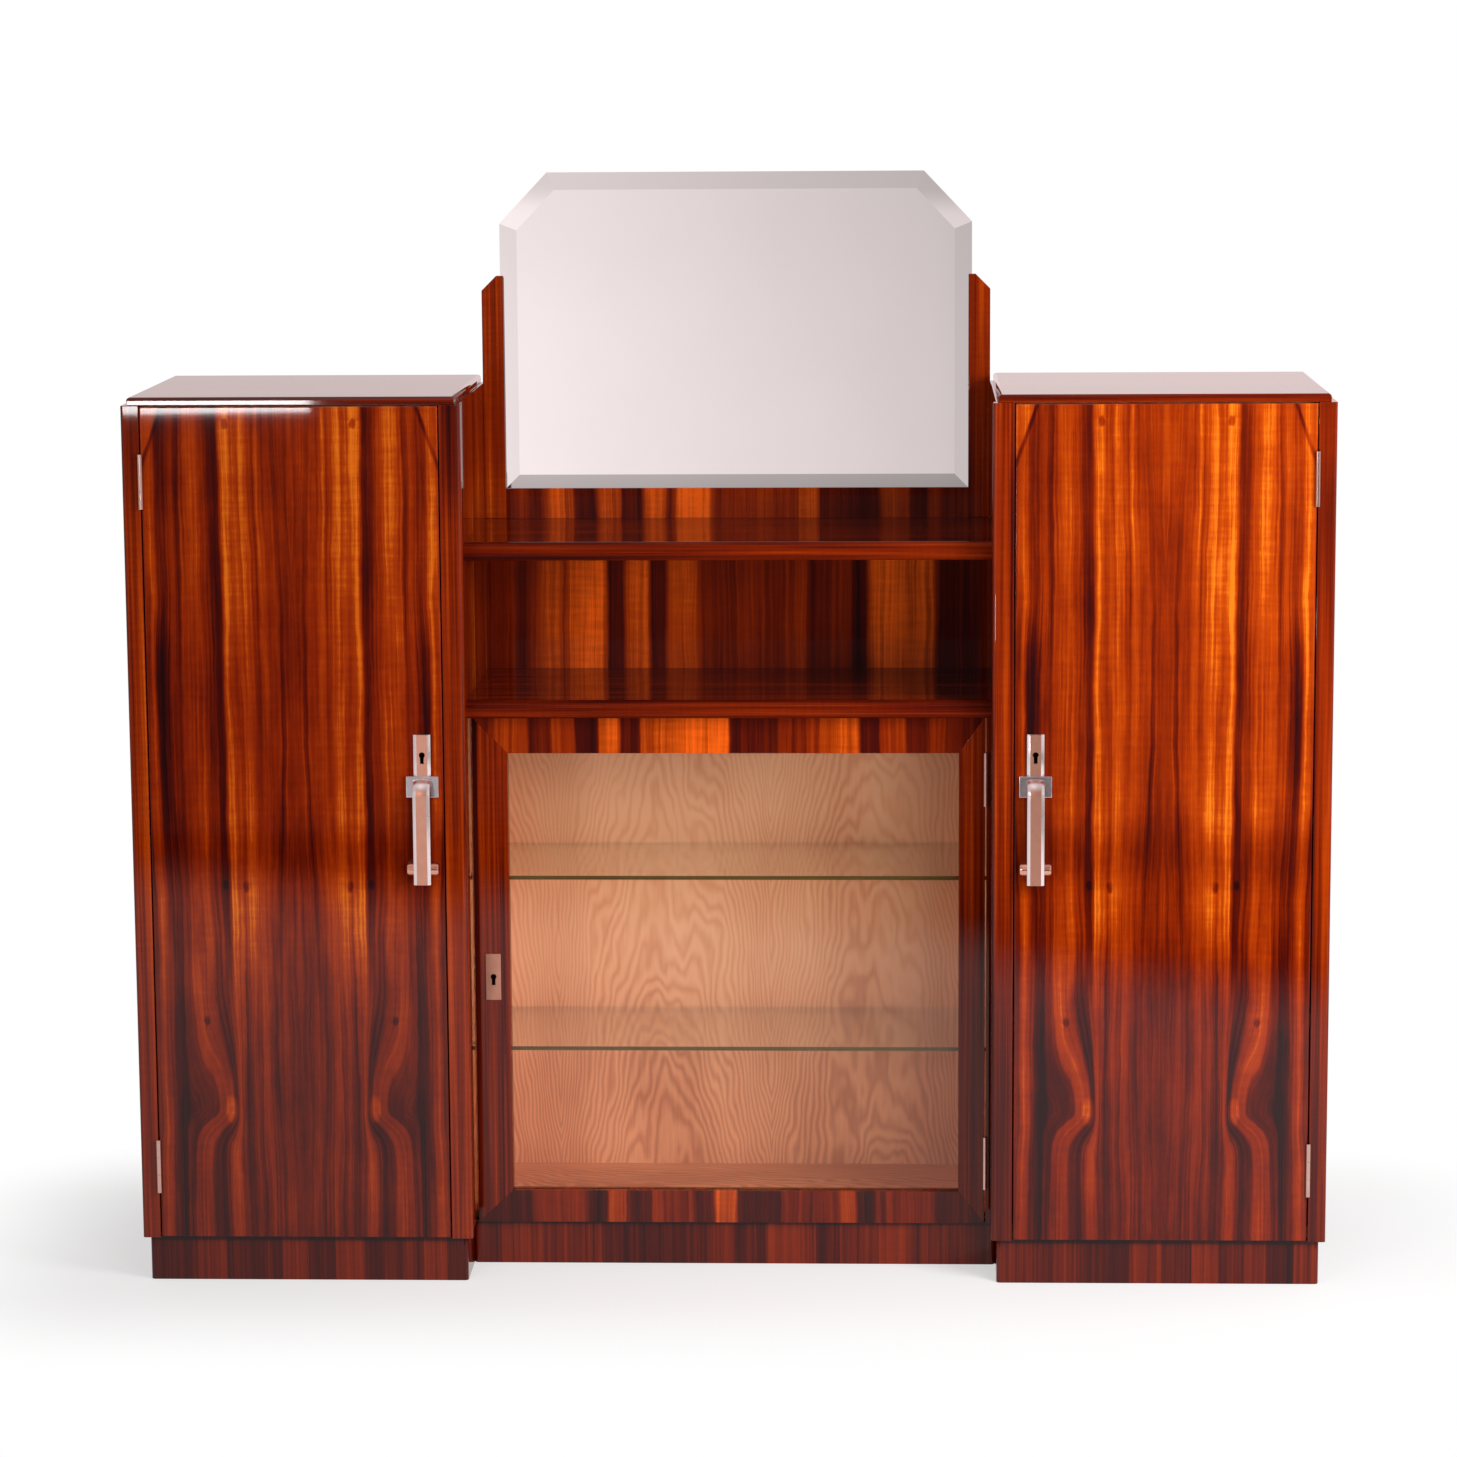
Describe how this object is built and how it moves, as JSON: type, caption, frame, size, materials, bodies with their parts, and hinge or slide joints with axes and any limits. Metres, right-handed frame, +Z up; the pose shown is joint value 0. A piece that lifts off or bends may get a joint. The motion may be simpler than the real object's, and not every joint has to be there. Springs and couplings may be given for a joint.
{
  "type": "mirrored sideboard",
  "caption": "Stepped display cabinet: tall veneered cupboards flank a set-back glazed display with an open niche, a shelf and a bevelled mirror with clipped corners; doors swing and lock.",
  "frame": {"origin": "middle of the bounding box at floor level", "axes": "+Z up, +X to the right seen from the front, the front faces -Y"},
  "size_m": [1.8, 0.457, 1.67],
  "materials": {
    "figured_veneer": "french-polished striped rosewood veneer, high gloss",
    "dark_veneer": "dark red-brown polished veneer, high gloss",
    "frame_veneer": "cross-banded polished veneer",
    "oak_ply": "pale plywood, satin",
    "inner_wood": "plain board, satin",
    "mirror": "silvered glass with a wide bevel",
    "pane": "clear plate glass",
    "shelf_glass": "clear plate glass with a green edge",
    "nickel": "brushed nickel with polished bevels",
    "chrome": "polished chrome",
    "hinge_metal": "nickelled brass, polished",
    "lock_steel": "plain steel"
  },
  "bodies": {
    "carcass": {"left_outer_side": "dark_veneer", "left_inner_side": "dark_veneer", "left_top_board": "inner_wood", "left_bottom_board": "inner_wood", "left_back_panel": "oak_ply", "left_cupboard_shelves": "inner_wood", "left_top_slab": "dark_veneer", "left_plinth": "frame_veneer", "right_outer_side": "dark_veneer", "right_inner_side": "dark_veneer", "right_top_board": "inner_wood", "right_bottom_board": "inner_wood", "right_back_panel": "oak_ply", "right_cupboard_shelves": "inner_wood", "right_top_slab": "dark_veneer", "right_plinth": "frame_veneer", "centre_bottom_board": "oak_ply", "display_back": "oak_ply", "niche_back": "figured_veneer", "lower_shelf": "dark_veneer", "upper_shelf": "dark_veneer", "glass_shelves": "shelf_glass", "centre_plinth": "frame_veneer", "left_mirror_post": "dark_veneer", "right_mirror_post": "dark_veneer", "mirror_apron": "figured_veneer", "mirror_glass": "mirror", "mirror_backing": "oak_ply", "centre_hinge_strip": "dark_veneer", "shelf_battens": "inner_wood", "glass_shelf_rests": "lock_steel", "strike_plates": "lock_steel", "hinge_frame_leaves": "hinge_metal", "hinge_pins": "hinge_metal"},
    "left_door": {"left_door_panel": "figured_veneer", "left_door_hinge_leaves": "hinge_metal", "left_key_plate": "nickel", "left_handle_base": "chrome", "left_handle_grip": "nickel", "left_handle_roller": "chrome", "left_lock_case": "lock_steel"},
    "right_door": {"right_door_panel": "figured_veneer", "right_door_hinge_leaves": "hinge_metal", "right_key_plate": "nickel", "right_handle_base": "chrome", "right_handle_grip": "nickel", "right_handle_roller": "chrome", "right_lock_case": "lock_steel"},
    "centre_door": {"centre_door_lock_stile": "frame_veneer", "centre_door_hinge_stile": "frame_veneer", "centre_door_top_rail": "frame_veneer", "centre_door_bottom_rail": "frame_veneer", "centre_door_glass": "pane", "centre_door_glazing_beads": "frame_veneer", "centre_escutcheon": "nickel", "centre_lock_case": "lock_steel", "centre_door_hinge_leaves": "hinge_metal"},
    "left_bolt": {"left_lock_bolt": "lock_steel"},
    "right_bolt": {"right_lock_bolt": "lock_steel"},
    "centre_bolt": {"centre_lock_bolt": "lock_steel"}
  },
  "joints": [
    {"name": "left_door_hinge", "type": "hinge", "parent": "carcass", "child": "left_door", "pos_m": [-0.872, -0.2053, 0.141], "axis": [0, 0, -1], "range_deg": [0, 170]},
    {"name": "right_door_hinge", "type": "hinge", "parent": "carcass", "child": "right_door", "pos_m": [0.872, -0.2053, 0.141], "axis": [0, 0, 1], "range_deg": [0, 170]},
    {"name": "centre_door_hinge", "type": "hinge", "parent": "carcass", "child": "centre_door", "pos_m": [0.387, -0.1053, 0.124], "axis": [0, 0, 1], "range_deg": [0, 90]},
    {"name": "left_bolt_slide", "type": "slide", "parent": "left_door", "child": "left_bolt", "axis": [1, 0, 0], "range_m": [0, 0.01]},
    {"name": "right_bolt_slide", "type": "slide", "parent": "right_door", "child": "right_bolt", "axis": [-1, 0, 0], "range_m": [0, 0.01]},
    {"name": "centre_bolt_slide", "type": "slide", "parent": "centre_door", "child": "centre_bolt", "axis": [-1, 0, 0], "range_m": [0, 0.01]}
  ]
}
